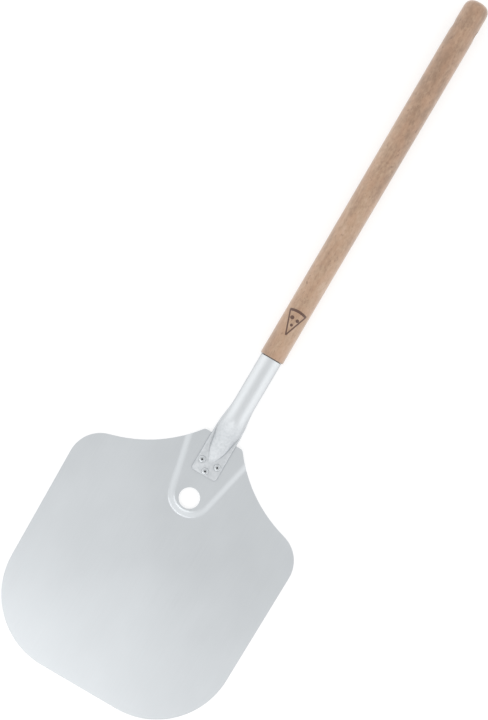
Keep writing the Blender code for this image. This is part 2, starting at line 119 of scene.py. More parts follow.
# Shading is smooth up to these angles, in degrees, and sharp beyond them.
SHEET_SMOOTH = 35
TUBE_SMOOTH = 40
HANDLE_SMOOTH = 35
RIVET_SMOOTH = 50
SCREW_SMOOTH = 40

# Blade: the sheared edges, which turn by more than the angle, are rounded over by tumbling.
BLADE_EDGE_ROUNDING = 0.35 * MM
BLADE_EDGE_SEGMENTS = 3
BLADE_EDGE_ANGLE = 40
BLADE_FLATNESS_WEIGHT = 100

# Tube: the thin slit between its two pressed walls, seen along the tab's front edge.
TAB_MIDDLE_ABOVE_BLADE = 1.8 * MM
SLIT_HALF_WIDTH = 14 * MM
SLIT_DEPTH = 1.5 * MM
SLIT_HEIGHT = 0.3 * MM

# Small dents that the press left on the nose: (x, distance behind the neck edge, depth).
NOSE_DENTS = (
    (3.3 * MM, 3.6 * MM, 0.22 * MM),
    (4.8 * MM, -6.6 * MM, 0.18 * MM),
    (3.9 * MM, -18.7 * MM, 0.2 * MM),
)
DENT_RADIUS = 3.2 * MM
DENT_CENTRE_REACH = 0.1 * MM

# The nose's top, whose faces have at least this upward normal, is cut finer for round dents.
NOSE_MIDDLE_BEFORE_NECK = 8 * MM
NOSE_HALF_LENGTH = 24 * MM
NOSE_HALF_WIDTH = 11 * MM
NOSE_ABOVE_TAB = 4 * MM
NOSE_CUTS = 4
FACING_UP = 0.3

# The tube is polished behind the pressed nose and dull on it, with a soft change between the two.
DULL_BEHIND_NECK = 22 * MM
DULL_CHANGE = 14 * MM

# Turned beech handle. The stations are (distance behind the shoulder, radius).
HANDLE_SIDES = 96
HANDLE_RING_SPACING = 8 * MM
END_LENGTH = 14 * MM
END_POWER = 2.8
END_RINGS = 18
SHOULDER_ROUNDING = 1.5 * MM
SHOULDER_RINGS = 5
TENON_LENGTH = 60 * MM
TENON_CHAMFER = 2 * MM
TENON_RADIUS = 11.7 * MM
HANDLE_STATIONS = (
    (0 * MM, 15.3 * MM),
    (35 * MM, 15.2 * MM),
    (110 * MM, 15.15 * MM),
    (210 * MM, 15.4 * MM),
    (330 * MM, 15.7 * MM),
    (430 * MM, 15.95 * MM),
    (479 * MM, 15.6 * MM),
)
CORD_HOLE_RADIUS = 4.2 * MM
CORD_HOLE_FROM_END = 37.6 * MM
CORD_HOLE_TILT = math.radians(5)
CORD_HOLE_STRAIGHT = 12.8 * MM
CORD_HOLE_REACH = 22 * MM
CORD_HOLE_SIDES = 64

# The stick was cut so that its free end lies nearer the heart, where beech is browner.
HEART_STARTS_BEHIND_SHOULDER = 110 * MM
HEART_FULL_BEFORE_END = 30 * MM
HEART_DARKENING = 0.095

# Burnt mark on the handle: a plain slice of pizza, its tip towards the blade.
MARK_FROM_SHOULDER = 49 * MM
MARK_LENGTH = 33 * MM
MARK_HALF_WIDTH = 11.5 * MM
MARK_LINE = 0.75 * MM
MARK_SCORCH = 0.35 * MM
MARK_SIDE_SHARE = 0.9
MARK_SIDE_FADE = 0.01
CRUST_HALF_HEIGHT = 1.5 * MM
CRUST_HALF_WIDTH = 10.7 * MM
CRUST_CURVE_RADIUS = 30 * MM

# How dark, deep and dull the mark is burnt, as shares of the wood's colour, relief and roughness.
MARK_STRENGTH = 0.92
MARK_DEPTH = 1.5
MARK_DULLING = 0.2

# Round pieces on the slice: ((x, distance from the tip, 0), radius).
TOPPINGS = (
    ((0.2 * MM, 13.5 * MM, 0), 1.7 * MM),
    ((-3.6 * MM, 22 * MM, 0), 2.3 * MM),
    ((4 * MM, 21 * MM, 0), 2.0 * MM),
)

# Crevices: painted shade is darkest where only the first share of the air is open, and gone at the
# second.
CREVICE_DEEP = 0.35
CREVICE_OPEN = 0.9
CREVICE_SAMPLES = 8

# Pressing makes the tube this much rougher.
PRESSED_ROUGHNESS = 0.1

# How much of the wood's relief is grain and flecks.
GRAIN_RELIEF = 0.5


def linear(channel):
    """One sRGB channel, 0 to 1, as linear light."""
    if channel <= 0.04045:
        return channel / 12.92
    return ((channel + 0.055) / 1.055) ** 2.4


def colour(hex_value):
    """An sRGB hex colour as linear red, green, blue and alpha."""
    return tuple(linear(int(hex_value[i : i + 2], 16) / 255) for i in (1, 3, 5)) + (1.0,)


# ---------------------------------------------------------------- modelling helpers


def start_fresh():
    """Leave edit mode and deselect everything, so that an operator acts on one piece."""
    if bpy.context.mode != "OBJECT":
        bpy.ops.object.mode_set(mode="OBJECT")
    bpy.ops.object.select_all(action="DESELECT")


def make_active(piece):
    start_fresh()
    piece.select_set(True)
    bpy.context.view_layer.objects.active = piece


def edit(piece, what="FACE"):
    """Open a piece in edit mode with nothing selected."""
    make_active(piece)
    bpy.ops.object.mode_set(mode="EDIT")
    bpy.ops.mesh.select_mode(type=what)
    bpy.ops.mesh.select_all(action="DESELECT")


def pick_faces(piece, wanted):
    """Select the faces whose centre and normal pass the test, from within edit mode."""
    bpy.ops.object.mode_set(mode="OBJECT")
    for face in piece.data.polygons:
        face.select = wanted(face.center, face.normal)
    bpy.ops.object.mode_set(mode="EDIT")


def pick_vertices(piece, wanted):
    """Select the vertices whose place passes the test, from within edit mode."""
    bpy.ops.object.mode_set(mode="OBJECT")
    for vertex in piece.data.vertices:
        vertex.select = wanted(vertex.co)
    bpy.ops.object.mode_set(mode="EDIT")


def settle(piece):
    """Put the object at the origin, unturned and unscaled, with its place in its mesh."""
    make_active(piece)
    bpy.ops.object.transform_apply(location=True, rotation=True, scale=True)


def face_outwards(piece):
    """Join doubled points and turn every face outwards."""
    edit(piece)
    bpy.ops.mesh.select_all(action="SELECT")
    bpy.ops.mesh.remove_doubles(threshold=SAME_POINT)
    bpy.ops.mesh.normals_make_consistent(inside=False)
    bpy.ops.object.mode_set(mode="OBJECT")


def smooth(piece, degrees):
    """Shade a piece smooth, with a sharp edge wherever it turns by more than the angle."""
    make_active(piece)
    bpy.ops.object.shade_smooth_by_angle(angle=math.radians(degrees))


def apply_modifiers(piece):
    make_active(piece)
    for modifier in list(piece.modifiers):
        bpy.ops.object.modifier_apply(modifier=modifier.name)


def round_edges(piece, width, segments, degrees):
    """Round every edge sharper than the angle."""
    bevel = piece.modifiers.new("rounded edges", "BEVEL")
    bevel.width = width
    bevel.segments = segments
    bevel.limit_method = "ANGLE"
    bevel.angle_limit = math.radians(degrees)
    bevel.use_clamp_overlap = True
    apply_modifiers(piece)


def cut(piece, cutter):
    """Cut one piece away from another, then throw the cutter away."""
    boolean = piece.modifiers.new("cut", "BOOLEAN")
    boolean.operation = "DIFFERENCE"
    boolean.solver = "EXACT"
    boolean.object = cutter
    apply_modifiers(piece)
    bpy.data.objects.remove(cutter)


def turn(name, stations, sides, centre, along="Z"):
    """Turn a round solid: a disc is extruded and resized through its (radius, place) stations."""
    direction = Vector((0, 1, 0)) if along == "Y" else Vector((0, 0, 1))
    lean = (-math.pi / 2, 0, 0) if along == "Y" else (0, 0, 0)
    start = Vector(centre) + direction * stations[0][1]
    start_fresh()
    bpy.ops.mesh.primitive_circle_add(
        vertices=sides, radius=stations[0][0], fill_type="NGON", location=start, rotation=lean
    )
    piece = bpy.context.object
    piece.name = name
    settle(piece)
    bpy.ops.object.mode_set(mode="EDIT")
    bpy.ops.mesh.select_all(action="SELECT")
    for (radius, place), (next_radius, next_place) in zip(stations, stations[1:]):
        step = direction * (next_place - place)
        bpy.ops.mesh.extrude_region_move(TRANSFORM_OT_translate={"value": step})
        share = next_radius / radius
        middle = Vector(centre) + direction * next_place
        bpy.ops.transform.resize(value=(share, share, share), center_override=middle)
    bpy.ops.object.mode_set(mode="OBJECT")
    face_outwards(piece)
    return piece


def box_cutter(low, high):
    """A block for cutting, from its low corner to its high corner."""
    low, high = Vector(low), Vector(high)
    start_fresh()
    bpy.ops.mesh.primitive_cube_add(size=1, location=(low + high) / 2)
    block = bpy.context.object
    block.scale = high - low
    settle(block)
    return block


def merged_copy(node_name, name):
    """A CAD node's own shape as a new piece, with its triangles joined and its flat faces whole."""
    make_active(frame["nodes"][node_name])
    bpy.ops.object.duplicate()
    piece = bpy.context.object
    piece.name = name
    piece.parent = None
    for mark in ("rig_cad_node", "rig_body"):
        del piece[mark]
    bpy.ops.mesh.customdata_custom_splitnormals_clear()
    edit(piece)
    bpy.ops.mesh.select_all(action="SELECT")
    bpy.ops.mesh.remove_doubles(threshold=SAME_CAD_POINT)
    bpy.ops.mesh.dissolve_limited(angle_limit=math.radians(SAME_PLANE))
    bpy.ops.object.mode_set(mode="OBJECT")
    return piece


def finish_piece(piece, node_name, material):
    """Give a piece its material and let it stand for its CAD node."""
    piece.data.materials.clear()
    piece.data.materials.append(material)
    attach(piece, "root")
    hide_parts(node_name)


def between(stations, place):
    """Read a smooth curve through (place, value) stations."""
    if place <= stations[0][0]:
        return stations[0][1]
    for i in range(len(stations) - 1):
        (start, low), (end, high) = stations[i], stations[i + 1]
        if place > end:
            continue
        before = stations[max(i - 1, 0)]
        after = stations[min(i + 2, len(stations) - 1)]
        length = end - start
        slope_in = (high - before[1]) / (end - before[0]) * length
        slope_out = (after[1] - low) / (after[0] - start) * length
        t = (place - start) / length
        return (
            (2 * t**3 - 3 * t**2 + 1) * low
            + (t**3 - 2 * t**2 + t) * slope_in
            + (-2 * t**3 + 3 * t**2) * high
            + (t**3 - t**2) * slope_out
        )
    return stations[-1][1]


# ---------------------------------------------------------------- material helpers


def connect(tree, target, inputs):
    """Set a node's inputs: a plain value stays on its own socket, and an output is linked to it."""
    for name, value in inputs.items():
        if isinstance(value, bpy.types.NodeSocket):
            tree.links.new(value, target.inputs[name])
        else:
            target.inputs[name].default_value = value


def add(tree, kind, inputs, output=0, stops=(), **settings):
    """Add a node with its settings, links and (place, hex colour) stops, and give one output."""
    made = tree.nodes.new("ShaderNode" + kind)
    for name, value in settings.items():
        setattr(made, name, value)
    connect(tree, made, inputs)
    for i, (place, hex_value) in enumerate(stops):
        elements = made.color_ramp.elements
        element = elements[i] if i < len(elements) else elements.new(place)
        element.position = place
        element.color = colour(hex_value)
    return made.outputs[output]


def new_material(name, surface):
    """A Principled material with the values that are the same all over its surface."""
    material = bpy.data.materials.new(name)
    material.use_nodes = True
    tree = material.node_tree
    shader = tree.nodes["Principled BSDF"]
    connect(tree, shader, surface)
    return material, tree, shader


def cells(x, y, z):
    """The Mapping scale for a pattern with cells of this real size, in millimetres."""
    return tuple(1 / (size * MM) for size in (x, y, z))


def from_to(value, low, high, start=0.0, end=1.0):
    """The inputs of a Map Range node that turns low to high into start to end.

    Noise rarely leaves 0.3 to 0.7, so patterns are read over that range or a narrower one.
    """
    return {"Value": value, "From Min": low, "From Max": high, "To Min": start, "To Max": end}


EASED = {"interpolation_type": "SMOOTHSTEP"}


def crevice_painted_shade(tree, clean, reach, darkest):
    """Darken a colour where surfaces meet within reach: painted shade, read from ambient occlusion.
    """
    open_air = add(tree, "AmbientOcclusion", {"Distance": reach}, "AO", samples=CREVICE_SAMPLES)
    shade_range = from_to(open_air, CREVICE_DEEP, CREVICE_OPEN, darkest, 1.0)
    keep = add(tree, "MapRange", shade_range, **EASED)
    grey = add(tree, "CombineColor", {0: keep, 1: keep, 2: keep})
    both = {"Factor": 1.0, "A": clean, "B": grey}
    return add(tree, "Mix", both, "Result", data_type="RGBA", blend_type="MULTIPLY")


# ---------------------------------------------------------------- metals


def satin_aluminium_sheet():
    """Rolled aluminium sheet, tumbled matt: a soft even sheen, faint clouds and fine rolling lines.

    The rolling lines are drawn 0.7 mm apart, a few times coarser than real ones, so that they show.
    """
    material, tree, shader = new_material("Satin rolled aluminium", {"Metallic": 1.0})
    where = add(tree, "TexCoord", {}, "Object")
    broad = add(tree, "Mapping", {"Vector": where, "Scale": cells(110, 165, 110)})
    clouds = add(tree, "TexNoise", {"Vector": broad, "Scale": 1, "Detail": 3, "Roughness": 0.55})
    rolled = add(tree, "Mapping", {"Vector": where, "Scale": cells(0.7, 62, 0.7)})
    lines = add(tree, "TexNoise", {"Vector": rolled, "Scale": 1, "Detail": 3, "Roughness": 0.6})
    fine = add(tree, "Mapping", {"Vector": where, "Scale": cells(0.45, 0.45, 0.45)})
    grit = add(tree, "TexNoise", {"Vector": fine, "Scale": 1, "Detail": 2, "Roughness": 0.6})

    mixed = add(tree, "Mix", {"Factor": 0.3, "A": clouds, "B": lines})
    metal = add(tree, "ValToRGB", {0: mixed}, stops=((0.3, "#CED2D5"), (0.7, "#D6DADD")))
    relief = add(tree, "Mix", {"Factor": 0.4, "A": lines, "B": grit})
    surface = {
        # The base colour carries painted shade where the tab and rivets meet the sheet.
        "Base Color": crevice_painted_shade(tree, metal, reach=2.5 * MM, darkest=0.72),
        "Roughness": add(tree, "MapRange", from_to(mixed, 0.3, 0.7, 0.33, 0.39), **EASED),
        "Normal": add(tree, "Bump", {"Height": relief, "Distance": 0.012 * MM, "Strength": 1.0}),
    }
    connect(tree, shader, surface)
    return material


def drawn_aluminium_tube(press_y):
    """Drawn aluminium tube: brighter than the sheet, lined lengthwise, dull where it is pressed."""
    even = {"Metallic": 1.0, "Specular Tint": colour("#D0D0D0")}
    material, tree, shader = new_material("Polished drawn aluminium", even)
    where = add(tree, "TexCoord", {}, "Object")
    broad = add(tree, "Mapping", {"Vector": where, "Scale": cells(17, 40, 17)})
    clouds = add(tree, "TexNoise", {"Vector": broad, "Scale": 1, "Detail": 3, "Roughness": 0.6})
    drawn = add(tree, "Mapping", {"Vector": where, "Scale": cells(0.55, 45, 0.55)})
    lines = add(tree, "TexNoise", {"Vector": drawn, "Scale": 1, "Detail": 3, "Roughness": 0.6})
    mixed = add(tree, "Mix", {"Factor": 0.4, "A": clouds, "B": lines})
    bright = add(tree, "ValToRGB", {0: mixed}, stops=((0.3, "#D9DDE0"), (0.7, "#E1E4E6")))

    # Pressing stretches the skin into a duller grey, with faint blotches about 3 mm wide.
    small = add(tree, "Mapping", {"Vector": where, "Scale": cells(3, 3, 3)})
    blotches = add(tree, "TexNoise", {"Vector": small, "Scale": 1, "Detail": 2, "Roughness": 0.5})
    dull_grey = add(tree, "ValToRGB", {0: blotches}, stops=((0.3, "#CBCFD2"), (0.7, "#D8DBDE")))
    along = add(tree, "SeparateXYZ", {0: where}, "Y")
    change = from_to(along, press_y - DULL_CHANGE, press_y + DULL_CHANGE, 1.0, 0.0)
    pressed = add(tree, "MapRange", change, **EASED)
    skin = {"Factor": pressed, "A": bright, "B": dull_grey}
    metal = add(tree, "Mix", skin, "Result", data_type="RGBA")
    shine = add(tree, "MapRange", from_to(mixed, 0.3, 0.7, 0.37, 0.45), **EASED)
    duller = {0: pressed, 1: PRESSED_ROUGHNESS, 2: shine}
    surface = {
        # The base colour carries painted shade in the creases by the nose and around the rivets.
        "Base Color": crevice_painted_shade(tree, metal, reach=2.0 * MM, darkest=0.6),
        "Roughness": add(tree, "Math", duller, operation="MULTIPLY_ADD"),
        "Normal": add(tree, "Bump", {"Height": lines, "Distance": 0.01 * MM, "Strength": 1.0}),
    }
    connect(tree, shader, surface)
    return material


def set_aluminium_rivet():
    """Formed aluminium rivet head: bright and smooth, with setting tool marks 1 to 2 mm wide."""
    material, tree, shader = new_material("Set aluminium rivet", {"Metallic": 1.0})
    where = add(tree, "TexCoord", {}, "Object")
    small = add(tree, "Mapping", {"Vector": where, "Scale": cells(1.4, 1.4, 1.4)})
    marks = add(tree, "TexNoise", {"Vector": small, "Scale": 1, "Detail": 3, "Roughness": 0.6})
    metal = add(tree, "ValToRGB", {0: marks}, stops=((0.35, "#C3C7CA"), (0.65, "#D9DDE0")))
    surface = {
        # The base colour carries painted shade as a dark ring where the head meets the tab.
        "Base Color": crevice_painted_shade(tree, metal, reach=1.2 * MM, darkest=0.4),
        "Roughness": add(tree, "MapRange", from_to(marks, 0.35, 0.65, 0.2, 0.34), **EASED),
        "Normal": add(tree, "Bump", {"Height": marks, "Distance": 0.02 * MM, "Strength": 1.0}),
    }
    connect(tree, shader, surface)
    return material


def broken_steel_mandrel():
    """Torn end of a steel mandrel: dark grey, with a coarse grain under 1 mm wide."""
    material, tree, shader = new_material("Broken steel", {"Metallic": 1.0})
    where = add(tree, "TexCoord", {}, "Object")
    coarse = add(tree, "Mapping", {"Vector": where, "Scale": cells(0.67, 0.67, 0.67)})
    grain = add(tree, "TexNoise", {"Vector": coarse, "Scale": 1, "Detail": 3, "Roughness": 0.7})
    surface = {
        "Base Color": add(tree, "ValToRGB", {0: grain}, stops=((0.3, "#2B2C2E"), (0.7, "#4C4E50"))),
        "Roughness": add(tree, "MapRange", from_to(grain, 0.3, 0.7, 0.4, 0.65), **EASED),
        "Normal": add(tree, "Bump", {"Height": grain, "Distance": 0.08 * MM, "Strength": 1.0}),
    }
    connect(tree, shader, surface)
    return material


def zinc_plated_steel():
    """Bright zinc plated on a steel screw: pale grey with faint blue and straw clouds 2 mm wide."""
    material, tree, shader = new_material("Zinc-plated steel", {"Metallic": 1.0})
    where = add(tree, "TexCoord", {}, "Object")
    small = add(tree, "Mapping", {"Vector": where, "Scale": cells(2.2, 2.2, 2.2)})
    clouds = add(tree, "TexNoise", {"Vector": small, "Scale": 1, "Detail": 2, "Roughness": 0.5})
    tones = ((0.3, "#BDC4CC"), (0.5, "#CBCCCA"), (0.7, "#CFC9B8"))
    surface = {
        "Base Color": add(tree, "ValToRGB", {0: clouds}, stops=tones),
        "Roughness": add(tree, "MapRange", from_to(clouds, 0.3, 0.7, 0.25, 0.4), **EASED),
        "Normal": add(tree, "Bump", {"Height": clouds, "Distance": 0.02 * MM, "Strength": 1.0}),
    }
    connect(tree, shader, surface)
    return material


# ---------------------------------------------------------------- wood
# A pattern's Location only shifts it, so that no two patterns of the wood line up.


def burnt_slice(tree, across, along):
    """The straight sides of the slice, 0 to 1: they part from the tip and end inside the crust."""
    share = add(tree, "Math", {0: along, 1: MARK_LENGTH}, operation="DIVIDE")
    inside = add(tree, "Math", {0: share, 1: MARK_HALF_WIDTH}, operation="MULTIPLY")
    edge = add(tree, "Math", {0: inside, 1: across}, operation="SUBTRACT")
    rim = add(tree, "Math", {0: edge}, operation="ABSOLUTE")
    side = add(tree, "MapRange", from_to(rim, MARK_LINE, MARK_LINE + MARK_SCORCH, 1, 0), **EASED)
    half = MARK_SIDE_SHARE / 2
    from_middle = add(tree, "Math", {0: share, 1: half}, operation="SUBTRACT")
    far = add(tree, "Math", {0: from_middle}, operation="ABSOLUTE")
    ends = from_to(far, half, half + MARK_SIDE_FADE, 1, 0)
    in_length = add(tree, "MapRange", ends, **EASED)
    return add(tree, "Math", {0: side, 1: in_length}, operation="MULTIPLY")


def burnt_crust(tree, across, along):
    """The crust, 0 to 1: a thick line across the wide end, bowed outwards."""
    squared = add(tree, "Math", {0: across, 1: across}, operation="MULTIPLY")
    bowed = {0: squared, 1: 1 / (2 * CRUST_CURVE_RADIUS), 2: along}
    place = add(tree, "Math", bowed, operation="MULTIPLY_ADD")
    off = add(tree, "Math", {0: place, 1: MARK_LENGTH - CRUST_HALF_HEIGHT}, operation="SUBTRACT")
    apart = add(tree, "Math", {0: off}, operation="ABSOLUTE")
    reach = from_to(apart, CRUST_HALF_HEIGHT, CRUST_HALF_HEIGHT + MARK_SCORCH, 1, 0)
    crust = add(tree, "MapRange", reach, **EASED)
    ends = from_to(across, CRUST_HALF_WIDTH, CRUST_HALF_WIDTH + MARK_SCORCH, 1, 0)
    wide = add(tree, "MapRange", ends, **EASED)
    return add(tree, "Math", {0: crust, 1: wide}, operation="MULTIPLY")


def burnt_mark(tree, where, middle_y, top_z):
    """How burnt the wood is, 0 to 1: a pizza slice with its sides, crust and three round pieces."""
    axes = add(tree, "SeparateXYZ", {0: where}).node.outputs
    across = add(tree, "Math", {0: axes["X"]}, operation="ABSOLUTE")
    tip_y = middle_y - MARK_LENGTH / 2
    along = add(tree, "Math", {0: axes["Y"], 1: tip_y}, operation="SUBTRACT")
    slice_sides = burnt_slice(tree, across, along)
    crust = burnt_crust(tree, across, along)
    mask = add(tree, "Math", {0: slice_sides, 1: crust}, operation="MAXIMUM")
    flat = add(tree, "CombineXYZ", {0: axes["X"], 1: along})
    for centre, radius in TOPPINGS:
        apart = add(tree, "VectorMath", {0: flat, 1: centre}, "Value", operation="DISTANCE")
        disc = add(tree, "MapRange", from_to(apart, radius, radius + MARK_SCORCH, 1, 0), **EASED)
        mask = add(tree, "Math", {0: mask, 1: disc}, operation="MAXIMUM")
    on_top = add(tree, "Math", {0: axes["Z"], 1: top_z / 2}, operation="GREATER_THAN")
    return add(tree, "Math", {0: mask, 1: on_top}, operation="MULTIPLY")


def beech_flecks(tree, where):
    """How dark the flecks and pores are, 0 to 1.

    Ray flecks are 1 to 3 mm long, drawn about twice as wide as real ones so that they show, with a
    few larger spots and the pores as hair lines 5 mm long.
    """
    short = add(tree, "Mapping", {"Vector": where, "Scale": cells(1.1, 3.8, 1.1)})
    flecks = add(tree, "TexNoise", {"Vector": short, "Scale": 1, "Detail": 1, "Roughness": 0.5})
    fleck = add(tree, "MapRange", from_to(flecks, 0.64, 0.74, 0, 0.55), **EASED)
    large = {"Vector": where, "Scale": cells(6.25, 9, 6.25), "Location": (2, 8, 5)}
    wide = add(tree, "Mapping", large)
    spots = add(tree, "TexNoise", {"Vector": wide, "Scale": 1, "Detail": 1, "Roughness": 0.5})
    spot = add(tree, "MapRange", from_to(spots, 0.7, 0.78, 0, 0.6), **EASED)
    hair = {"Vector": where, "Scale": cells(0.31, 5, 0.31), "Location": (1, 5, 9)}
    thin = add(tree, "Mapping", hair)
    pores = add(tree, "TexNoise", {"Vector": thin, "Scale": 1, "Detail": 1, "Roughness": 0.5})
    pore = add(tree, "MapRange", from_to(pores, 0.6, 0.75, 0, 0.3), **EASED)
    darker = add(tree, "Math", {0: fleck, 1: pore}, operation="MAXIMUM")
    return add(tree, "Math", {0: darker, 1: spot}, operation="MAXIMUM")


def beech_grain(tree, where):
    """How pale the grain is, 0 to 1.

    Growth rings 2 to 6 mm apart are cut at a slant, so they drift along the stick as soft bands,
    with broad clouds under them and a mottle 3 mm wide and 6 mm long over them.
    """
    slant = {
        "Vector": where,
        "Scale": cells(6, 60, 8),
        "Rotation": (0.0, 0.0, 0.05),
        "Location": (3, 1, 2),
    }
    drift = add(tree, "Mapping", slant)
    rings = {"Vector": drift, "Scale": 1, "Detail": 4, "Roughness": 0.55, "Distortion": 0.6}
    bands = add(tree, "TexNoise", rings)
    wide = {"Vector": where, "Scale": cells(26, 71, 26), "Location": (7, 4, 1)}
    broad = add(tree, "Mapping", wide)
    clouds = add(tree, "TexNoise", {"Vector": broad, "Scale": 1, "Detail": 3, "Roughness": 0.55})
    small = add(tree, "Mapping", {"Vector": where, "Scale": cells(3, 6, 3), "Location": (4, 2, 6)})
    mottle = add(tree, "TexNoise", {"Vector": small, "Scale": 1, "Detail": 2, "Roughness": 0.6})
    soft = add(tree, "Mix", {"Factor": 0.5, "A": bands, "B": clouds})
    return add(tree, "Mix", {"Factor": 0.35, "A": soft, "B": mottle})


def beech_blush(tree, where):
    """How salmon the wood is, 0 to 0.5.

    Steaming leaves it uneven, in patches 10 mm wide and 20 mm long.
    """
    patches = {"Vector": where, "Scale": cells(10, 20, 10), "Location": (5, 3, 8)}
    patch = add(tree, "Mapping", patches)
    uneven = add(tree, "TexNoise", {"Vector": patch, "Scale": 1, "Detail": 3, "Roughness": 0.55})
    return add(tree, "MapRange", from_to(uneven, 0.36, 0.64, 0, 0.5), **EASED)


def oiled_beech(shoulder_y, end_y, top_z):
    """Steamed beech, sanded and thinly oiled: salmon tan, soft clouded grain, short dark flecks.

    Fine raised fibres and the oil make its sides pale where they turn away from the eye.
    """
    even = {
        "Metallic": 0.0,
        "Sheen Weight": 0.45,
        "Sheen Roughness": 0.55,
        "Sheen Tint": colour("#FFFAF4"),
        "Coat Weight": 0.6,
        "Coat Roughness": 0.4,
    }
    material, tree, shader = new_material("Oiled steamed beech", even)
    where = add(tree, "TexCoord", {}, "Object")
    grain = beech_grain(tree, where)

    # The wood is browner towards the heart, which lies nearest at the free end.
    along = add(tree, "SeparateXYZ", {0: where}, "Y")
    heart_start = shoulder_y + HEART_STARTS_BEHIND_SHOULDER
    heart_full = end_y - HEART_FULL_BEFORE_END
    towards_heart = from_to(along, heart_start, heart_full, 0.0, HEART_DARKENING)
    heart = add(tree, "MapRange", towards_heart, **EASED)
    paleness = add(tree, "Math", {0: grain, 1: heart}, operation="SUBTRACT")
    tones = ((0.36, "#93745B"), (0.44, "#A3846B"), (0.52, "#B29479"), (0.62, "#BFA28A"))
    tan = add(tree, "ValToRGB", {0: paleness}, stops=tones)
    with_blush = {"Factor": beech_blush(tree, where), "A": tan, "B": colour("#B58E71")}
    body = add(tree, "Mix", with_blush, "Result", data_type="RGBA")
    dark = beech_flecks(tree, where)
    with_flecks = {"Factor": dark, "A": body, "B": colour("#6E4E37")}
    flecked = add(tree, "Mix", with_flecks, "Result", data_type="RGBA")

    # End grain drinks the oil, so the shoulder is dark; this darkness is also painted shade for the
    # shadow in the joint with the tube.
    facing = add(tree, "TexCoord", {}, "Normal")
    lengthwise = add(tree, "SeparateXYZ", {0: facing}, "Y")
    end_grain_and_joint_shade = add(tree, "MapRange", from_to(lengthwise, -0.25, -0.85, 0.0, 0.75), **EASED)
    with_shoulder = {"Factor": end_grain_and_joint_shade, "A": flecked, "B": colour("#5B3F2C")}
    grained = add(tree, "Mix", with_shoulder, "Result", data_type="RGBA")

    burnt = burnt_mark(tree, where, shoulder_y + MARK_FROM_SHOULDER, top_z)
    char = add(tree, "Math", {0: burnt, 1: MARK_STRENGTH}, operation="MULTIPLY")
    with_mark = {"Factor": char, "A": grained, "B": colour("#47200C")}
    shine = add(tree, "MapRange", from_to(paleness, 0.36, 0.64, 0.42, 0.52), **EASED)
    raised = add(tree, "Math", {0: grain, 1: dark}, operation="SUBTRACT")
    sunk = add(tree, "Math", {0: burnt, 1: -MARK_DEPTH}, operation="MULTIPLY")
    relief = add(tree, "Math", {0: raised, 1: GRAIN_RELIEF, 2: sunk}, operation="MULTIPLY_ADD")
    dulled = {0: burnt, 1: MARK_DULLING, 2: shine}
    surface = {
        "Base Color": add(tree, "Mix", with_mark, "Result", data_type="RGBA"),
        "Roughness": add(tree, "Math", dulled, operation="MULTIPLY_ADD"),
        "Normal": add(tree, "Bump", {"Height": relief, "Distance": 0.05 * MM, "Strength": 1.0}),
    }
    connect(tree, shader, surface)
    return material


# ---------------------------------------------------------------- pieces


def make_blade(material):
    """The stamped sheet with its sheared edges rounded over."""
    blade = merged_copy("blade", "blade_sheet")
    round_edges(blade, BLADE_EDGE_ROUNDING, BLADE_EDGE_SEGMENTS, BLADE_EDGE_ANGLE)
    smooth(blade, SHEET_SMOOTH)
    weighted = blade.modifiers.new("flat faces stay flat", "WEIGHTED_NORMAL")
    weighted.keep_sharp = True
    weighted.weight = BLADE_FLATNESS_WEIGHT
    apply_modifiers(blade)
    finish_piece(blade, "blade", material)


def press_dent(piece, x, y, depth):
    """Push a small soft dent down into the top of a piece."""
    edit(piece, "VERT")
    nearest = min(
        (vertex for vertex in piece.data.vertices if vertex.normal.z > FACING_UP),
        key=lambda vertex: (vertex.co.x - x) ** 2 + (vertex.co.y - y) ** 2,
    ).co.copy()
    pick_vertices(piece, lambda place: (place - nearest).length < DENT_CENTRE_REACH)
    bpy.ops.transform.translate(
        value=(0, 0, -depth),
        use_proportional_edit=True,
        proportional_edit_falloff="SMOOTH",
        proportional_size=DENT_RADIUS,
    )
    bpy.ops.object.mode_set(mode="OBJECT")


def make_socket(material):
    """The tube: round behind, pressed flat in front, with the slit between its pressed walls."""
    socket = merged_copy("handle_socket", "socket_tube")
    front_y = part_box("handle_socket")[0].y
    tab_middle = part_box("blade")[1].z + TAB_MIDDLE_ABOVE_BLADE
    slit = box_cutter(
        (-SLIT_HALF_WIDTH, front_y - SLIT_DEPTH, tab_middle - SLIT_HEIGHT / 2),
        (SLIT_HALF_WIDTH, front_y + SLIT_DEPTH, tab_middle + SLIT_HEIGHT / 2),
    )
    cut(socket, slit)
    neck_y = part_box("blade")[1].y
    nose_y = neck_y - NOSE_MIDDLE_BEFORE_NECK
    edit(socket)
    pick_faces(
        socket,
        lambda middle, normal: abs(middle.x) < NOSE_HALF_WIDTH
        and abs(middle.y - nose_y) < NOSE_HALF_LENGTH
        and middle.z > tab_middle + NOSE_ABOVE_TAB
        and normal.z > FACING_UP,
    )
    bpy.ops.mesh.subdivide(number_cuts=NOSE_CUTS)
    bpy.ops.object.mode_set(mode="OBJECT")
    for x, behind, depth in NOSE_DENTS:
        press_dent(socket, x, neck_y + behind, depth)
    smooth(socket, TUBE_SMOOTH)
    finish_piece(socket, "handle_socket", material)


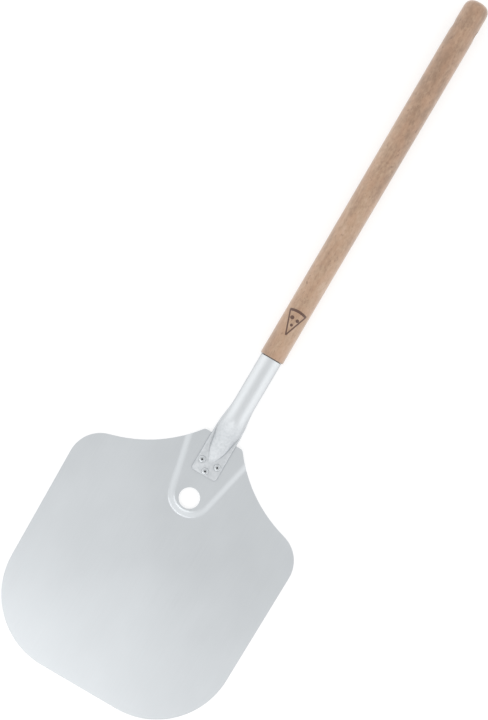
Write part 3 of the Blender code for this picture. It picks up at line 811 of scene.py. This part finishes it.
def handle_rings(low_y, high_y, widest):
    """(radius, y) down the handle, from the tenon's end to the domed free end."""
    shoulder = low_y + TENON_LENGTH
    straight = high_y - shoulder - END_LENGTH
    rings = [
        (TENON_RADIUS - TENON_CHAMFER, low_y),
        (TENON_RADIUS, low_y + TENON_CHAMFER),
        (TENON_RADIUS, shoulder),
    ]
    first, last = HANDLE_STATIONS[0][1], HANDLE_STATIONS[-1][1]
    for i in range(SHOULDER_RINGS + 1):
        angle = math.pi / 2 * i / SHOULDER_RINGS
        radius = first - SHOULDER_ROUNDING * (1 - math.sin(angle))
        rings.append((radius, shoulder + SHOULDER_ROUNDING * (1 - math.cos(angle))))
    count = round(straight / HANDLE_RING_SPACING)
    for i in range(1, count + 1):
        place = SHOULDER_ROUNDING + (straight - SHOULDER_ROUNDING) * i / count
        rings.append((min(between(HANDLE_STATIONS, place), widest), shoulder + place))
    # The dome stops half a step short of its pole, so that the handle ends in a tiny flat disc.
    for i in range(1, END_RINGS + 1):
        angle = math.pi / 2 * i / (END_RINGS + 0.5)
        radius = last * math.cos(angle) ** (2 / END_POWER)
        rise = END_LENGTH * math.sin(angle) ** (2 / END_POWER)
        rings.append((radius, shoulder + straight + rise))
    return rings


def cord_drill(y, z):
    """The cord hole: straight in the middle, with a 45 degree countersink at each end."""
    mouth = CORD_HOLE_RADIUS + CORD_HOLE_REACH - CORD_HOLE_STRAIGHT
    stations = (
        (mouth, -CORD_HOLE_REACH),
        (CORD_HOLE_RADIUS, -CORD_HOLE_STRAIGHT),
        (CORD_HOLE_RADIUS, CORD_HOLE_STRAIGHT),
        (mouth, CORD_HOLE_REACH),
    )
    drill = turn("cord_hole", stations, CORD_HOLE_SIDES, (0, 0, 0))
    drill.rotation_euler = (0, math.pi / 2 - CORD_HOLE_TILT, 0)
    drill.location = (0, y, z)
    settle(drill)
    return drill


def make_handle(material):
    """The turned handle with its tenon and the countersunk cord hole."""
    low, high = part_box("handle")
    axis_z = (low.z + high.z) / 2
    rings = handle_rings(low.y, high.y, (high.z - low.z) / 2)
    handle = turn("beech_handle", rings, HANDLE_SIDES, (0, 0, axis_z), "Y")
    cut(handle, cord_drill(high.y - CORD_HOLE_FROM_END, axis_z))
    smooth(handle, HANDLE_SMOOTH)
    finish_piece(handle, "handle", material)


def make_rivet(side, rivet_metal, mandrel_metal):
    """A set blind rivet: domed head with an open bore, and the mandrel broken off inside it."""
    rivet = merged_copy(f"rivet_{side}", f"blind_rivet_{side}")
    smooth(rivet, RIVET_SMOOTH)
    finish_piece(rivet, f"rivet_{side}", rivet_metal)
    mandrel = merged_copy(f"mandrel_{side}", f"broken_mandrel_{side}")
    smooth(mandrel, RIVET_SMOOTH)
    finish_piece(mandrel, f"mandrel_{side}", mandrel_metal)


def make_screw(material):
    """The domed screw that pins the tenon in the tube."""
    screw = merged_copy("handle_screw", "wood_screw")
    smooth(screw, SCREW_SMOOTH)
    finish_piece(screw, "handle_screw", material)


# ---------------------------------------------------------------- studio


def make_floor():
    """A pale matt board under the peel, lit a little from below like a light table."""
    start_fresh()
    bpy.ops.mesh.primitive_plane_add(size=FLOOR_SIZE, location=(0, cad_high.y / 2, -FLOOR_DROP))
    floor = bpy.context.object
    floor.name = "studio_floor"
    even = {
        "Base Color": colour("#B8B8B8"),
        "Roughness": FLOOR_ROUGHNESS,
        "Specular IOR Level": FLOOR_GLOSS,
        "Emission Color": colour("#FFFFFF"),
        "Emission Strength": FLOOR_GLOW,
    }
    floor.data.materials.append(new_material("White studio board", even)[0])


def add_softbox(name, target, offset, size, power):
    """A rectangular softbox aimed at its target."""
    data = bpy.data.lights.new(name, "AREA")
    data.shape = "RECTANGLE"
    data.size, data.size_y = size
    data.energy = power
    lamp = bpy.data.objects.new(name, data)
    bpy.context.scene.collection.objects.link(lamp)
    lamp.location = target + Vector(offset)
    lamp.rotation_euler = (-Vector(offset)).to_track_quat("-Z", "Y").to_euler()
    lamp.visible_camera = False


def make_studio():
    """A white room, dimmer overhead, with a softbox on each side and one past the blade."""
    world = bpy.data.worlds.new("Soft studio")
    bpy.context.scene.world = world
    world.use_nodes = True
    tree = world.node_tree
    direction = add(tree, "TexCoord", {}, "Generated")
    up = add(tree, "SeparateXYZ", {0: direction}, "Z")
    level = add(tree, "MapRange", from_to(up, WALL_TOP, 1.0, WALL_LIGHT, CEILING_LIGHT), **EASED)
    connect(tree, tree.nodes["Background"], {"Strength": level, "Color": colour("#FFFFFF")})
    middle = Vector((0, (cad_low.y + cad_high.y) / 2, 0))
    left = (-SIDE_SOFTBOX_OUT, 0, SIDE_SOFTBOX_UP)
    right = (SIDE_SOFTBOX_OUT, 0, SIDE_SOFTBOX_UP)
    blade_front = Vector((0, cad_low.y, 0))
    add_softbox("left_softbox", middle, left, SIDE_SOFTBOX_SIZE, LEFT_POWER)
    add_softbox("right_softbox", middle, right, SIDE_SOFTBOX_SIZE, RIGHT_POWER)
    add_softbox("front_softbox", blade_front, FRONT_SOFTBOX_OFFSET, FRONT_SOFTBOX_SIZE, FRONT_POWER)
    bpy.context.scene.view_settings.view_transform = "Standard"


def make_camera():
    """The camera looks straight down, turned about its own axis."""
    data = bpy.data.cameras.new("above")
    camera = bpy.data.objects.new("above", data)
    bpy.context.scene.collection.objects.link(camera)
    middle = (cad_low + cad_high) / 2
    camera.location = (middle.x + VIEW_OFFSET_X, middle.y + VIEW_OFFSET_Y, CAMERA_HEIGHT)
    camera.rotation_euler = (0, 0, VIEW_TURN)
    data.sensor_width = SENSOR_WIDTH_IN_MM
    data.lens = SENSOR_WIDTH_IN_MM * CAMERA_HEIGHT / VIEW_LONG_SIDE
    data.clip_start = CLIP_NEAR
    data.clip_end = CLIP_FAR
    bpy.context.scene.camera = camera


make_camera()
make_studio()
make_floor()

dull_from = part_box("blade")[1].y + DULL_BEHIND_NECK
handle_low, handle_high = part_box("handle")
shoulder_y = handle_low.y + TENON_LENGTH
make_blade(satin_aluminium_sheet())
make_socket(drawn_aluminium_tube(dull_from))
make_handle(oiled_beech(shoulder_y, handle_high.y, handle_high.z))
head_metal = set_aluminium_rivet()
broken_metal = broken_steel_mandrel()
for rivet_side in ("left", "right", "front"):
    make_rivet(rivet_side, head_metal, broken_metal)
make_screw(zinc_plated_steel())
